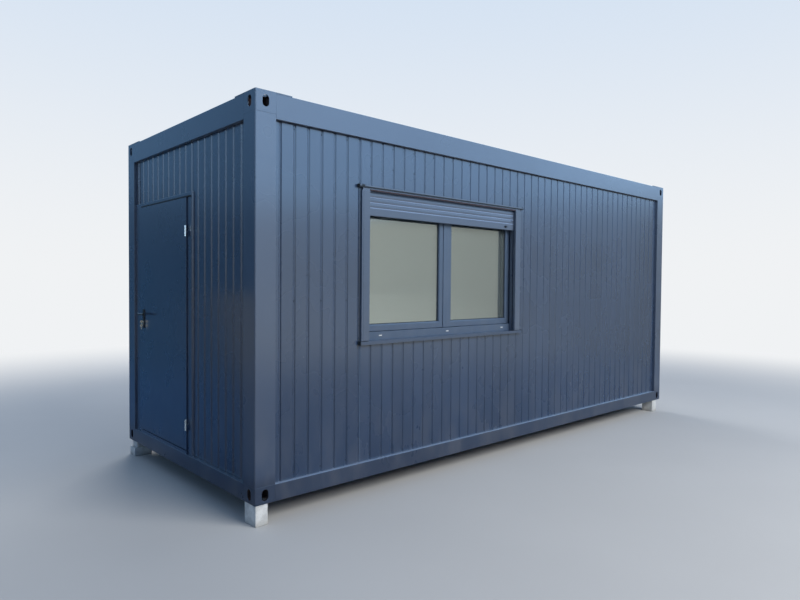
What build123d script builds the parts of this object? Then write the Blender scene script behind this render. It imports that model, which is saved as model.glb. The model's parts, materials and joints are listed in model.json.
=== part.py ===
from build123d import *
from math import floor, hypot
import os

# Portable site cabin: a welded steel frame with corner fittings, insulated walls clad
# in narrow profiled sheet, an outward opening door in one end and a two-sash window
# with a roller shutter in one long side, standing on loose blocks.
# Sizes in millimetres. The cabin is drawn with x along its length from the door end,
# y across it from the window side and z up from the underside of the frame.
# A depth is the distance behind the frame's outer face.

# Frame
length = 6058
width = 2438
frame_height = 2811
steel = 4
post_size = 160
rail_depth = 112
corner_radius = 10
fold_radius = 3
bottom_rail_height = 120
rail_lip = 20
top_rail_height = 174
rail_flange = 40
gutter_width = 55
gutter_floor_drop = 66
roof_seat_drop = 36

# Corner fittings
top_fitting_height = 140
fitting_wall = 8
slot_width = 51
slot_height = 80
slot_drop = 63
bottom_slot_rise = 60
aperture_length = 124
aperture_width = 63.5
aperture_corner = 20
plate_thickness = 8
plate_reach = 289

# Floor, ceiling and roof
cross_member_height = 100
cross_member_width = 50
cross_member_pitch = 520
joist_pitch = 640
section_wall = 3
deck_thickness = 25
ceiling_rise = 8
ceiling_thickness = 16
roof_thickness = 2
roof_edge_inset = 98
roof_corner_clearance = 12
rib_pitch = 330
rib_height = 28
rib_top = 30
rib_base = 70

# Walls
cladding_depth = 32
lining_thickness = 10
groove_pitch = 117.33
groove_mouth = 22
groove_floor = 10
groove_depth = 9
end_groove_inset = 90

# Window
window_centre = 1934
window_width = 1998
window_height = 1180
window_drop = 568
window_frame_depth = 75
window_frame_thickness = 58
window_stile = 40
window_bottom_rail = 67
window_head = 45
sash_recess = 20
sash_thickness = 53
sash_gap = 3
sash_overlap = 12
sash_rail = 56
sash_bevel = 8
outer_stile = 70
left_meeting_stile = 60
right_meeting_stile = 100
cover_strip_width = 58
cover_strip_lap = 14
cover_strip_thickness = 6
glass_recess = 20
glass_thickness = 24
glass_bite = 10
window_handle_length = 110
window_handle_grip = 16
window_handle_stand = 42
window_handle_rose = 28
window_handle_rose_height = 60
window_handle_rose_thickness = 10

# Roller shutter
guide_width = 80
guide_flange = 10
guide_depth = 8
guide_wall = 2.5
curtain_depth = 36
slat_thickness = 9
slat_pitch = 41
slat_neck = 4
slat_crown = 2.5
slat_count = 3
strap_reach = 8
curtain_bite = 15
bottom_bar_height = 61
bottom_bar_thickness = 13
running_clearance = 2
shutter_box_height = 182
shutter_box_depth = 200
shutter_nose_depth = 10
shutter_nose_height = 20
shutter_wall = 2.5
strap_thickness = 4
roll_diameter = 140
axle_width = 40

# Drip cap and sill
flashing = 2
drip_cap_height = 22
drip_cap_fall = 4
drip_cap_depth = 2
drip_cap_overhang = 28
drip_cap_lip = 10
sill_nose = 26
sill_fall = 3
sill_depth = 1
sill_left_overhang = 11
sill_right_overhang = 30

# Door
door_back_inset = 316
door_width = 1000
door_rise = 6
door_height = 2047
door_depth = 6
door_thickness = 45
door_gap = 5
jamb_width = 76
jamb_depth = 16
stop_width = 18
head_height = 36
threshold_height = 27
threshold_depth = 5

# Door hinges
hinge_diameter = 16
hinge_height = 88
hinge_proud = 4
hinge_offset = 10
hinge_pin = 8
hinge_split = 1
pin_clearance = 0.1
tab_width = 18
lower_hinge_rise = 209
upper_hinge_drop = 270

# Door furniture
backset = 72
spindle_rise = 1071
spindle_size = 8
neck_diameter = 18
neck_clearance = 1
spindle_clearance = 1
lever_diameter = 20
lever_length = 130
lever_proud = 53
furniture_plate_width = 32
furniture_plate_height = 170
furniture_plate_drop = 129
furniture_plate_thickness = 8
furniture_plate_corner = 4
cylinder_drop = 72
cylinder_diameter = 17
cylinder_tail = 33
cylinder_tail_width = 10
cylinder_tail_corner = 3
cylinder_proud = 3
mortise_gap = 1.5
key_bow = 24
key_bow_corner = 6
key_thickness = 2.5
key_gap = 2
key_blade = 8
key_blade_length = 24
key_eye_inset = 6
key_ring = 22
key_ring_wire = 3.6

# Blocks under the corners
block_height = 150
block_length = 100
block_breadth = 145
block_inset = 6
far_block_inset = 88
block_turn = 2
low_block_height = 80
low_block_length = 160
low_block_breadth = 140
packer_length = 110
packer_breadth = 100

# How far a cutting shape passes the face that it opens
cut_past = 1

# Heights and depths that follow from the sizes above
wall_top = frame_height - top_rail_height
top_fitting_base = frame_height - top_fitting_height
roof_seat = frame_height - roof_seat_drop
ceiling_base = wall_top + ceiling_rise
ceiling_top = ceiling_base + ceiling_thickness
lining_depth = rail_depth - lining_thickness
window_top = frame_height - window_drop
window_bottom = window_top - window_height
window_left = window_centre - window_width / 2
window_right = window_centre + window_width / 2
guide_outer = window_width / 2 + guide_flange
guide_inner = guide_outer - guide_width
shutter_box_top = window_top + shutter_box_height
shutter_back = window_top + shutter_nose_height
curtain_top = window_top - strap_reach
curtain_bottom = curtain_top - slat_pitch * slat_count
shutter_front = cladding_depth + groove_depth + shutter_wall
glass_depth = window_frame_depth + sash_recess + glass_recess
door_free_edge = width - door_back_inset
door_hinge_edge = door_free_edge - door_width
door_bottom = bottom_rail_height + threshold_height + door_rise
door_top = door_bottom + door_height
frame_hinge_edge = door_hinge_edge - door_gap
frame_free_edge = door_free_edge + door_gap
doorway_low = frame_hinge_edge - jamb_width
doorway_high = frame_free_edge + jamb_width
doorway_top = door_top + door_gap + head_height
stop_depth = door_depth + door_thickness + door_gap
spindle_y = door_free_edge - backset
spindle_height = door_bottom + spindle_rise
hinge_y = door_hinge_edge - hinge_offset
hinge_heights = (door_bottom + lower_hinge_rise, door_top - upper_hinge_drop)
cylinder_z = spindle_height - cylinder_drop
lever_axis = lever_proud - door_depth
handle_reach = lever_axis + lever_diameter / 2


def block(x, y, z):
    """A rectangular solid between the two values given for each axis."""
    return Pos(x[0], y[0], z[0]) * Box(x[1] - x[0], y[1] - y[0], z[1] - z[0], align=Align.MIN)


def outline(*points):
    """A flat face with straight edges."""
    return make_face(Polyline(*points, close=True))


def sheet(path, thickness):
    """The outline of a sheet folded along path, its thickness to the left of it."""
    shifted = []
    for i, (px, py) in enumerate(path):
        before = path[i - 1] if i else path[0]
        after = path[i + 1] if i + 1 < len(path) else path[-1]
        normals = []
        for (ax, ay), (bx, by) in ((before, path[i]), (path[i], after)):
            run = hypot(bx - ax, by - ay)
            if run:
                normals.append(((ay - by) / run, (bx - ax) / run))
        (nx, ny), (mx, my) = normals[0], normals[-1]
        spread = thickness / (1 + nx * mx + ny * my)
        shifted.append((px + (nx + mx) * spread, py + (ny + my) * spread))
    return outline(*path, *reversed(shifted))


def tube_face(face, wall):
    """A closed outline turned into a hollow section."""
    return face - offset(face, amount=-wall, kind=Kind.INTERSECTION)


def along_side(face, start, end):
    """Extrude a section drawn as (depth, z) along the window side."""
    plane = Plane(origin=(start, 0, 0), x_dir=(0, 1, 0), z_dir=(1, 0, 0))
    return extrude(plane * face, amount=end - start)


def upright(face, bottom, top):
    """Extrude a plan between two heights."""
    return extrude(Pos(0, 0, bottom) * face, amount=top - bottom)


def to_end(shape):
    """Carry a piece from the window side to the door end, swapping x and y."""
    return mirror(shape, about=Plane(origin=(0, 0, 0), z_dir=(1, -1, 0)))


def to_back(shape):
    """Carry a piece from the window side to the back."""
    return mirror(shape, about=Plane(origin=(0, width / 2, 0), z_dir=(0, 1, 0)))


def to_far(shape):
    """Carry a piece from the door end to the far end."""
    return mirror(shape, about=Plane(origin=(length / 2, 0, 0), z_dir=(1, 0, 0)))


def at_corners(shape):
    """A corner piece at its four places, named by where they are."""
    return {
        "door_front": shape,
        "door_back": to_back(shape),
        "far_front": to_far(shape),
        "far_back": to_far(to_back(shape)),
    }


def rounded_corner(face):
    """Round a corner piece's outline at the cabin's own corner."""
    return fillet(face.vertices().sort_by_distance((0, 0, 0))[0], corner_radius)


def post():
    """A hollow angle that shows a flat face to both sides."""
    arm = rail_depth
    face = outline((0, 0), (post_size, 0), (post_size, arm), (arm, arm), (arm, post_size), (0, post_size))
    section = tube_face(rounded_corner(face), steel)
    return upright(section, bottom_rail_height, top_fitting_base)


def side_slot(height):
    """The upright slot that a lifting hook enters through a fitting's side."""
    slot = Rot(90, 0, 0) * Rot(0, 0, 90) * SlotOverall(slot_height, slot_width)
    return Pos(post_size / 2, 0, height) * extrude(slot, amount=fitting_wall, both=True)


def fitting(bottom, top, slot_z, aperture, aperture_z):
    """A hollow corner fitting with two side slots and a long aperture."""
    face = Pos(post_size / 2, post_size / 2) * Rectangle(post_size, post_size)
    body = upright(rounded_corner(face), bottom, top)
    inner = (fitting_wall, post_size - fitting_wall)
    body -= block(inner, inner, (bottom + fitting_wall, top - fitting_wall))
    opening = extrude(aperture, amount=plate_thickness + fitting_wall, both=True)
    slots = [side_slot(slot_z), to_end(side_slot(slot_z))]
    return body, slots + [Pos(post_size / 2, post_size / 2, aperture_z) * opening]


def top_fitting():
    """The upper fitting, with the plate welded over it and the rail ends."""
    aperture = SlotOverall(aperture_length, aperture_width)
    body, holes = fitting(top_fitting_base, frame_height, frame_height - slot_drop, aperture, frame_height)
    arm = rail_depth
    plate = outline(
        (0, 0), (plate_reach, 0), (plate_reach, arm), (post_size, arm),
        (post_size, post_size), (arm, post_size), (arm, plate_reach), (0, plate_reach),
    )
    plate = upright(rounded_corner(plate), frame_height, frame_height + plate_thickness)
    return (body + plate) - holes


def bottom_fitting():
    """The lower fitting, as tall as the bottom rails."""
    aperture = chamfer(Rectangle(aperture_length, aperture_width).vertices(), aperture_corner)
    body, holes = fitting(0, bottom_rail_height, bottom_slot_rise, aperture, 0)
    return body - holes


def bottom_rail(run):
    """A lipped channel, open to the inside, that the walls stand on."""
    path = [
        (rail_depth, rail_lip), (rail_depth, 0), (0, 0), (0, bottom_rail_height),
        (rail_depth, bottom_rail_height), (rail_depth, bottom_rail_height - rail_lip),
    ]
    section = sheet(path[::-1], steel)
    return along_side(section, post_size, run - post_size)


def top_rail(run):
    """A closed folded rail with the rain gutter behind its outer flange."""
    gutter_z = frame_height - gutter_floor_drop
    gutter_end = rail_flange + gutter_width
    face = outline(
        (0, wall_top), (0, frame_height), (rail_flange, frame_height), (rail_flange, gutter_z),
        (gutter_end, gutter_z), (gutter_end, roof_seat), (rail_depth, roof_seat), (rail_depth, wall_top),
    )
    front = face.vertices().group_by(Axis.X)[0]
    section = tube_face(fillet(front, fold_radius), steel)
    return along_side(section, post_size, run - post_size)


def channel(start, low, high):
    """A lipped channel laid across the cabin between the two long rails."""
    path = [
        (start + cross_member_width, low + rail_lip), (start + cross_member_width, low), (start, low),
        (start, high), (start + cross_member_width, high), (start + cross_member_width, high - rail_lip),
    ]
    plane = Plane(origin=(0, width - rail_depth, 0), x_dir=(1, 0, 0), z_dir=(0, -1, 0))
    return extrude(plane * sheet(path[::-1], section_wall), amount=width - 2 * rail_depth)


def cross_members(pitch, low, high):
    """Evenly spaced channels between the end rails."""
    clear = length - 2 * rail_depth - cross_member_width
    count = floor(clear / pitch)
    step = clear / count
    return [channel(rail_depth + step * i, low, high) for i in range(1, count)]


def roof_sheet():
    """A ribbed sheet whose ribs run across the cabin and drain into the gutters."""
    start = roof_edge_inset
    end = length - roof_edge_inset
    count = floor((end - start - rib_pitch) / rib_pitch)
    first = length / 2 - (count - 1) * rib_pitch / 2
    path = [(start, roof_seat)]
    for i in range(count):
        middle = first + i * rib_pitch
        path += [(middle - rib_base / 2, roof_seat), (middle - rib_top / 2, roof_seat + rib_height)]
        path += [(middle + rib_top / 2, roof_seat + rib_height), (middle + rib_base / 2, roof_seat)]
    path += [(end, roof_seat)]
    plane = Plane(origin=(0, width - roof_edge_inset, 0), x_dir=(1, 0, 0), z_dir=(0, -1, 0))
    roof = extrude(plane * sheet(path, roof_thickness), amount=width - 2 * roof_edge_inset)
    notch = post_size + roof_corner_clearance
    cut = block((0, notch), (0, notch), (roof_seat - rib_height, frame_height))
    return roof - list(at_corners(cut).values())


def side_grooves():
    """Groove centres of a long wall, laid out from its middle."""
    count = floor((length / 2 - post_size - groove_mouth) / groove_pitch)
    return [length / 2 + groove_pitch * i for i in range(-count, count + 1)]


def end_grooves():
    """Groove centres of an end wall, laid out from the window side."""
    first = post_size + end_groove_inset
    count = floor((width - post_size - groove_mouth - first) / groove_pitch)
    return [first + groove_pitch * i for i in range(count + 1)]


def wall(start, end, bottom, top, grooves):
    """A wall panel whose outer sheet has narrow upright grooves."""
    panel = block((start, end), (cladding_depth, lining_depth), (bottom, top))
    mouth = groove_mouth / 2
    floor_half = groove_floor / 2
    bed = cladding_depth + groove_depth
    groove = outline(
        (-mouth, cladding_depth - cut_past), (mouth, cladding_depth - cut_past), (mouth, cladding_depth),
        (floor_half, bed), (-floor_half, bed), (-mouth, cladding_depth),
    )
    places = [centre for centre in grooves if start - mouth < centre < end + mouth]
    return panel - [upright(Pos(centre, 0) * groove, bottom, top) for centre in places]


def lining(start, end, bottom, top):
    """The board that faces a wall inside."""
    return block((start, end), (lining_depth, rail_depth), (bottom, top))


def shutter_box():
    """The hollow box that the shutter rolls into, with a nose over the window."""
    points = [
        (shutter_nose_depth, window_top), (shutter_nose_depth, shutter_back),
        (shutter_front, shutter_back), (shutter_front, shutter_box_top),
        (shutter_box_depth, shutter_box_top), (shutter_box_depth, window_top),
    ]
    mouth_low = curtain_depth - running_clearance
    mouth_high = curtain_depth + slat_thickness + running_clearance
    body = along_side(tube_face(outline(*points), shutter_wall), window_left, window_right)
    ends = along_side(outline(*points), window_left, window_right)
    inner = (window_left + shutter_wall, window_right - shutter_wall)
    body += ends - block(inner, (0, shutter_box_depth), (window_top, shutter_box_top))
    reach = (window_centre - guide_inner - curtain_bite, window_centre + guide_inner + curtain_bite)
    cut = (window_top - cut_past, window_top + shutter_wall + cut_past)
    return body - block(reach, (mouth_low, mouth_high), cut)


def slat_section(bottom):
    """One double-walled slat and the neck that hooks it to the slat above."""
    low = bottom + slat_neck / 4
    high = bottom + slat_pitch - slat_neck / 4
    middle = (low + high) / 2
    edge = curtain_depth + slat_crown
    back = curtain_depth + slat_thickness
    body = make_face([
        ThreePointArc((edge, low), (curtain_depth, middle), (edge, high)),
        Line((edge, high), (back, high)),
        Line((back, high), (back, low)),
        Line((back, low), (edge, low)),
    ])
    neck = Pos(curtain_depth + slat_thickness / 2, bottom + slat_pitch) * Rectangle(slat_neck, slat_neck)
    return body + neck


def shutter_curtain():
    """The rolled-up shutter's lowest slats, hanging by a strap from the roll in the box."""
    section = Sketch() + [slat_section(curtain_bottom + slat_pitch * i) for i in range(slat_count)]
    front = curtain_depth + (slat_thickness - strap_thickness) / 2
    roll_depth = (shutter_front + shutter_box_depth) / 2
    roll_z = (window_top + shutter_box_top) / 2
    lead_in = window_top + shutter_wall
    lead_depth = roll_depth - roll_diameter / 2 + strap_thickness
    strap = [(front, curtain_top), (front, lead_in), (lead_depth, shutter_back - shutter_wall), (lead_depth, roll_z)]
    section += sheet(strap[::-1], strap_thickness)
    section += Pos(roll_depth, roll_z) * Circle(roll_diameter / 2)
    reach = guide_inner + curtain_bite - running_clearance
    curtain = along_side(section, window_centre - reach, window_centre + reach)
    axle = Pos(roll_depth, roll_z) * RegularPolygon(axle_width / 2, 8, major_radius=False)
    return curtain + along_side(axle, window_left + shutter_wall, window_right - shutter_wall)


def bottom_bar():
    """The stiff bar that ends the shutter, with a soft seal under it."""
    middle = curtain_depth + slat_thickness / 2
    bottom = curtain_bottom - bottom_bar_height
    bar = Pos(middle, bottom + bottom_bar_height / 2) * Rectangle(
        bottom_bar_thickness, bottom_bar_height - slat_neck
    )
    bar = chamfer(bar.vertices(), slat_neck / 2)
    hook_top = curtain_bottom + slat_neck / 4
    hook = Pos(middle, hook_top - slat_neck) * Rectangle(slat_neck, 2 * slat_neck)
    seal = Pos(middle, bottom + slat_neck) * Rectangle(slat_neck, 2 * slat_neck)
    reach = guide_inner - running_clearance
    return along_side(bar + hook + seal, window_centre - reach, window_centre + reach)


def shutter_guide():
    """The left guide: a hollow casing with the groove that the slats run in."""
    left = window_centre - guide_outer
    body = left + guide_flange
    right = window_centre - guide_inner
    mouth = right - curtain_bite - running_clearance
    near = curtain_depth - running_clearance
    far = curtain_depth + slat_thickness + running_clearance
    face = outline(
        (left, guide_depth), (right, guide_depth), (right, near), (mouth, near), (mouth, far),
        (right, far), (right, window_frame_depth), (body, window_frame_depth),
        (body, cladding_depth), (left, cladding_depth),
    )
    return upright(tube_face(face, guide_wall), window_bottom + flashing + sill_fall, window_top)


def mirrored(shape):
    """A window piece on the other side of the window's middle."""
    return mirror(shape, about=Plane(origin=(window_centre, 0, 0), z_dir=(1, 0, 0)))


def drip_cap():
    """The folded flashing over the window, open at its ends."""
    top = shutter_back + drip_cap_height
    path = [
        (drip_cap_depth + drip_cap_lip, shutter_back), (drip_cap_depth, shutter_back),
        (drip_cap_depth, top - drip_cap_fall), (cladding_depth, top), (cladding_depth, shutter_back),
    ]
    reach = guide_outer + drip_cap_overhang
    return along_side(sheet(path[::-1], flashing), window_centre - reach, window_centre + reach)


def window_sill():
    """The folded sill, its nose reaching past both guides."""
    top = window_bottom + flashing
    path = [
        (sill_depth + drip_cap_lip, top - sill_nose), (sill_depth, top - sill_nose),
        (sill_depth, top), (window_frame_depth, top + sill_fall),
    ]
    left = window_centre - guide_outer - sill_left_overhang
    right = window_centre + guide_outer + sill_right_overhang
    sill = along_side(sheet(path[::-1], flashing), left, right)
    heights = (top - sill_nose, top + sill_nose)
    past_frame = window_frame_depth + flashing
    return sill - [
        block((left, window_left), (cladding_depth, past_frame), heights),
        block((window_right, right), (cladding_depth, past_frame), heights),
        block((left, right), (window_frame_depth, past_frame), heights),
    ]


def window_frame():
    """The fixed frame round both sashes."""
    back = window_frame_depth + window_frame_thickness
    outer = block((window_left, window_right), (window_frame_depth, back), (window_bottom, window_top))
    inner = block(
        (window_left + window_stile, window_right - window_stile), (window_frame_depth, back),
        (window_bottom + window_bottom_rail, window_top - window_head),
    )
    return outer - inner


def sash(left, right, left_stile, right_stile, left_lap, right_lap):
    """A sash with its glass: it closes into the frame and laps it on the room side."""
    front = window_frame_depth + sash_recess
    back = front + sash_thickness
    lap_front = window_frame_depth + window_frame_thickness
    bottom = window_bottom + window_bottom_rail + sash_gap
    top = window_top - window_head - sash_gap
    body = block((left, right), (front, back), (bottom, top))
    lap = sash_gap + sash_overlap
    body += block((left - left_lap, right + right_lap), (lap_front, back), (bottom - lap, top + lap))
    pane = (left + left_stile, right - right_stile)
    pane_z = (bottom + sash_rail, top - sash_rail)
    body -= block(pane, (front, back), pane_z)
    slope = Rectangle(pane[1] - pane[0] + 2 * sash_bevel, pane_z[1] - pane_z[0] + 2 * sash_bevel)
    face = Plane(origin=(sum(pane) / 2, front, sum(pane_z) / 2), x_dir=(1, 0, 0), z_dir=(0, 1, 0))
    body -= extrude(face * slope, amount=sash_bevel, taper=45)
    glass = block(
        (pane[0] - glass_bite, pane[1] + glass_bite), (glass_depth, glass_depth + glass_thickness),
        (pane_z[0] - glass_bite, pane_z[1] + glass_bite),
    )
    return body - glass, glass


def sashes():
    """Both sashes and their glass, the right one with the strip over the joint."""
    left = window_left + window_stile + sash_gap
    right = window_right - window_stile - sash_gap
    lap = sash_gap + sash_overlap
    middle = window_centre + sash_gap
    left_sash, left_glass = sash(left, window_centre, outer_stile, left_meeting_stile, lap, 0)
    right_sash, right_glass = sash(middle, right, right_meeting_stile, outer_stile, 0, lap)
    front = window_frame_depth + sash_recess
    strip_left = middle - cover_strip_lap
    strip_z = (window_bottom + window_bottom_rail + sash_gap, window_top - window_head - sash_gap)
    strip = block((strip_left, strip_left + cover_strip_width), (front - cover_strip_thickness, front), strip_z)
    strip -= block((strip_left, middle), (front - cut_past, front), strip_z)
    return left_sash, right_sash + strip, left_glass, right_glass


def window_handle():
    """The handle inside, on the stile where the sashes meet."""
    back = window_frame_depth + sash_recess + sash_thickness
    face = back + window_handle_rose_thickness
    reach = back + window_handle_stand
    x = window_centre + sash_gap + right_meeting_stile / 3
    z = (window_bottom + window_top) / 2
    half_rose = window_handle_rose / 2
    half_height = window_handle_rose_height / 2
    half_grip = window_handle_grip / 2
    grip_x = (x - half_grip, x + half_grip)
    rose = block((x - half_rose, x + half_rose), (back, face), (z - half_height, z + half_height))
    stem = block(grip_x, (face, reach), (z - half_grip, z + half_grip))
    grip = block(grip_x, (reach - window_handle_grip, reach), (z - window_handle_length, z + half_grip))
    return rose + stem + grip


def door_frame():
    """Jambs and head round the leaf, with a stop behind its edges."""
    heights = (bottom_rail_height, doorway_top)
    frame = block((jamb_depth, rail_depth), (doorway_low, doorway_high), heights)
    clear_top = door_top + door_gap
    frame -= block((jamb_depth, stop_depth), (frame_hinge_edge, frame_free_edge), (heights[0], clear_top))
    stop = (frame_hinge_edge + stop_width, frame_free_edge - stop_width)
    frame -= block((stop_depth, rail_depth), stop, (heights[0], clear_top - stop_width))
    return frame - threshold()


def threshold():
    """The step plate under the leaf."""
    top = bottom_rail_height + threshold_height
    return block((threshold_depth, rail_depth), (frame_hinge_edge, frame_free_edge), (bottom_rail_height, top))


def cylinder_face():
    """The outline of the lock cylinder, round above with a narrow tail below."""
    tail = chamfer(Rectangle(cylinder_tail_width, cylinder_tail).vertices(), cylinder_tail_corner)
    return Circle(cylinder_diameter / 2) + Pos(0, cylinder_diameter / 4 - cylinder_tail / 2) * tail


def through_door(face, y, z, start, end):
    """Extrude an outline drawn as (y, z) through the door, between two depths."""
    plane = Plane(origin=(start, y, z), x_dir=(0, 1, 0), z_dir=(1, 0, 0))
    return extrude(plane * face, amount=end - start)


def door_leaf():
    """The flush leaf, bored for the spindle and mortised for the lock cylinder."""
    back = door_depth + door_thickness
    leaf = block((door_depth, back), (door_hinge_edge, door_free_edge), (door_bottom, door_top))
    bore = Circle(hypot(spindle_size, spindle_size) / 2 + spindle_clearance)
    leaf -= through_door(bore, spindle_y, spindle_height, door_depth, back)
    top = cylinder_diameter / 2 + mortise_gap
    bottom = cylinder_diameter / 4 - cylinder_tail - mortise_gap
    mortise = Pos(0, (top + bottom) / 2) * Rectangle(cylinder_diameter + 2 * mortise_gap, top - bottom)
    return leaf - through_door(mortise, spindle_y, cylinder_z, door_depth, back)


def furniture_plates():
    """The narrow plates under the levers, one on each face of the leaf."""
    outer = (door_depth - furniture_plate_thickness, door_depth)
    inner = (door_depth + door_thickness, door_depth + door_thickness + furniture_plate_thickness)
    centre_drop = furniture_plate_height / 2 - furniture_plate_drop
    plates = []
    for start, end in (outer, inner):
        face = Pos(0, centre_drop) * Rectangle(furniture_plate_width, furniture_plate_height)
        face = chamfer(face.vertices(), furniture_plate_corner)
        face -= Circle(neck_diameter / 2 + neck_clearance)
        face -= Pos(0, -cylinder_drop) * cylinder_face()
        plates.append(through_door(face, spindle_y, spindle_height, start, end))
    return plates


def lock_cylinder():
    """The cylinder, a little proud of both plates."""
    start = door_depth - furniture_plate_thickness - cylinder_proud
    end = door_depth + door_thickness + furniture_plate_thickness + cylinder_proud
    return through_door(cylinder_face(), spindle_y, cylinder_z, start, end)


def levers():
    """Both levers on their common spindle."""
    outer = -lever_axis
    inner = door_depth + door_thickness + lever_proud
    radius = lever_diameter / 2
    body = through_door(Rectangle(spindle_size, spindle_size), spindle_y, spindle_height, outer, inner)
    for axis, face in ((outer, door_depth), (inner, door_depth + door_thickness)):
        neck = Circle(neck_diameter / 2)
        body += through_door(neck, spindle_y, spindle_height, min(axis, face), max(axis, face))
        plane = Plane(origin=(axis, spindle_y + radius, spindle_height), z_dir=(0, -1, 0))
        body += extrude(plane * Circle(radius), amount=lever_length + radius)
    return body


def keys():
    """The key in the lock with a flat ring and a second key hanging from it."""
    front = door_depth - furniture_plate_thickness - cylinder_proud
    bow_x = front - key_gap - key_bow / 2
    ring_z = cylinder_z - key_eye_inset - key_ring / 2
    second_z = ring_z - key_ring / 2 - key_eye_inset
    blade_z = second_z - key_bow / 2 - key_blade_length
    bow = chamfer(Rectangle(key_bow, key_bow).vertices(), key_bow_corner)
    flat = Pos(bow_x, cylinder_z) * bow
    flat += Pos((bow_x + front) / 2, cylinder_z) * Rectangle(front - bow_x, key_blade)
    flat += Pos(bow_x, second_z) * bow
    flat += Pos(bow_x, (second_z + blade_z) / 2) * Rectangle(key_blade, second_z - blade_z)
    plane = Plane(origin=(0, spindle_y + key_thickness / 2, 0), x_dir=(1, 0, 0), z_dir=(0, -1, 0))
    ring = Circle((key_ring + key_ring_wire) / 2) - Circle((key_ring - key_ring_wire) / 2)
    start = bow_x - key_ring_wire / 2
    return extrude(plane * flat, amount=key_thickness) + through_door(
        ring, spindle_y, ring_z, start, start + key_ring_wire
    )


def hinge_fixed(centre):
    """The lower hinge half, welded to the jamb, with the pin."""
    low = centre - hinge_height / 2
    barrel = Pos(-hinge_proud, hinge_y, low) * Cylinder(
        hinge_diameter / 2, hinge_height / 2 - hinge_split, align=(Align.CENTER, Align.CENTER, Align.MIN)
    )
    tab_edge = frame_hinge_edge - hinge_split
    tab = block((-hinge_proud, jamb_depth), (tab_edge - tab_width, tab_edge), (low, centre - hinge_split))
    pin = Pos(-hinge_proud, hinge_y, low) * Cylinder(
        hinge_pin / 2, hinge_height - hinge_pin, align=(Align.CENTER, Align.CENTER, Align.MIN)
    )
    return barrel + tab + pin


def hinge_moving(centre):
    """The upper hinge half, fixed to the leaf and bored for the pin."""
    high = centre + hinge_height / 2
    barrel = Pos(-hinge_proud, hinge_y, centre) * Cylinder(
        hinge_diameter / 2, hinge_height / 2, align=(Align.CENTER, Align.CENTER, Align.MIN)
    )
    tab = block((-hinge_proud, door_depth), (hinge_y, door_hinge_edge + tab_width), (centre, high))
    bore = Pos(-hinge_proud, hinge_y, centre) * Cylinder(
        hinge_pin / 2 + pin_clearance, hinge_height / 2 - hinge_pin + hinge_split,
        align=(Align.CENTER, Align.CENTER, Align.MIN),
    )
    return barrel + tab - bore


def block_at(x, y, size_x, size_y, bottom, top, turn):
    """A loose block centred at a place and turned a little."""
    return Pos(x, y, bottom) * Rot(0, 0, turn) * Box(
        size_x, size_y, top - bottom, align=(Align.CENTER, Align.CENTER, Align.MIN)
    )


def foundation_blocks():
    """The blocks under the four corners."""
    near = block_inset + block_length / 2
    far = length - far_block_inset - block_length / 2
    front = block_inset + block_breadth / 2
    back = width - front
    return [
        block_at(near, front, block_length, block_breadth, -block_height, 0, block_turn),
        block_at(far, front, block_length, block_breadth, -block_height, 0, -block_turn),
        block_at(far, back, block_length, block_breadth, -block_height, 0, block_turn),
        block_at(
            block_inset + low_block_length / 2, width - block_inset - low_block_breadth / 2,
            low_block_length, low_block_breadth, -block_height, low_block_height - block_height, -block_turn,
        ),
    ]


def packing_block():
    """The narrower block on the low one at the back of the door end."""
    return block_at(
        post_size / 2, width - post_size / 2, packer_length, packer_breadth,
        low_block_height - block_height, 0, block_turn,
    )


parts = {}

for place, shape in at_corners(post()).items():
    parts[f"post_{place}"] = shape
parts["top_corner_fittings"] = Compound([*at_corners(top_fitting()).values()])
parts["bottom_corner_fittings"] = Compound([*at_corners(bottom_fitting()).values()])

parts["bottom_rail_front"] = bottom_rail(length)
parts["bottom_rail_back"] = to_back(bottom_rail(length))
parts["bottom_rail_door_end"] = to_end(bottom_rail(width))
parts["bottom_rail_far_end"] = to_far(to_end(bottom_rail(width)))
parts["top_rail_front"] = top_rail(length)
parts["top_rail_back"] = to_back(top_rail(length))
parts["top_rail_door_end"] = to_end(top_rail(width))
parts["top_rail_far_end"] = to_far(to_end(top_rail(width)))

floor_low = bottom_rail_height - cross_member_height
parts["floor_cross_members"] = Compound(cross_members(cross_member_pitch, floor_low, bottom_rail_height))
parts["floor_deck"] = block(
    (rail_depth, length - rail_depth), (rail_depth, width - rail_depth),
    (bottom_rail_height, bottom_rail_height + deck_thickness),
)
corner = block((0, post_size), (0, post_size), (bottom_rail_height, bottom_rail_height + deck_thickness))
parts["floor_deck"] -= list(at_corners(corner).values())
parts["roof_joists"] = Compound(cross_members(joist_pitch, ceiling_top, roof_seat))
parts["ceiling"] = block(
    (rail_depth, length - rail_depth), (rail_depth, width - rail_depth), (ceiling_base, ceiling_top)
)
ceiling_corner = block((0, post_size), (0, post_size), (ceiling_base, ceiling_top))
parts["ceiling"] -= list(at_corners(ceiling_corner).values())
parts["roof_sheet"] = roof_sheet()

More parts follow.
